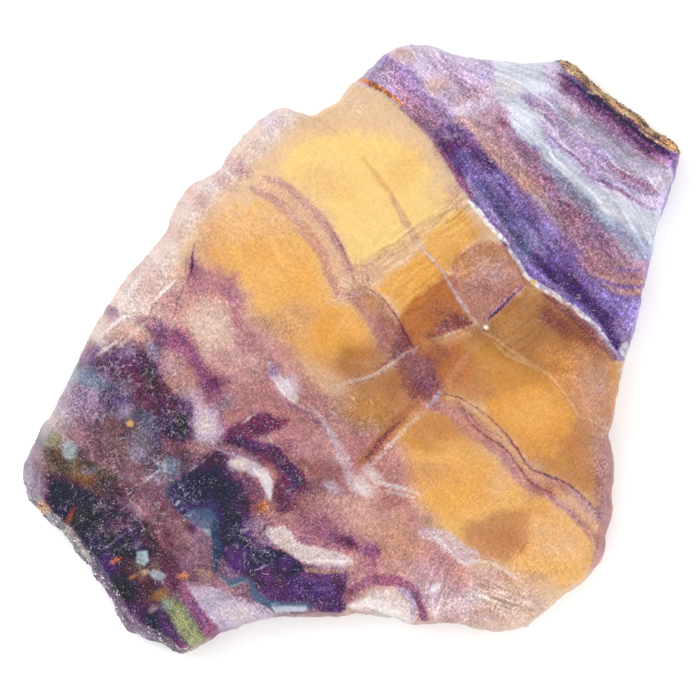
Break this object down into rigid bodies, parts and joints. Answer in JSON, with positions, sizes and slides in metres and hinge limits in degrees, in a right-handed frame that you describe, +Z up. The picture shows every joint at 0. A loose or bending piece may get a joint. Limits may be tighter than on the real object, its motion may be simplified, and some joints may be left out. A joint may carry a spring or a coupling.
{
  "type": "fluorite slice",
  "caption": "Flat polished slice of banded fluorite, amber in the middle with purple and pale bands in one corner and a dark crystal zone in another, with a broken rim.",
  "frame": {"origin": "centre of the bounding box in plan, at the height of the lower polished face", "axes": "+Z up through the thickness, +X along the slice's longer extent towards the corner with purple and white bands, +Y across it towards the edge that bears that corner's crust"},
  "size_m": [0.0922, 0.0852, 0.0065],
  "materials": {
    "fluorite": "translucent banded crystal with polished faces and a rough broken rim"
  },
  "bodies": {
    "root": {"fluorite_slice": "fluorite"}
  },
  "joints": []
}
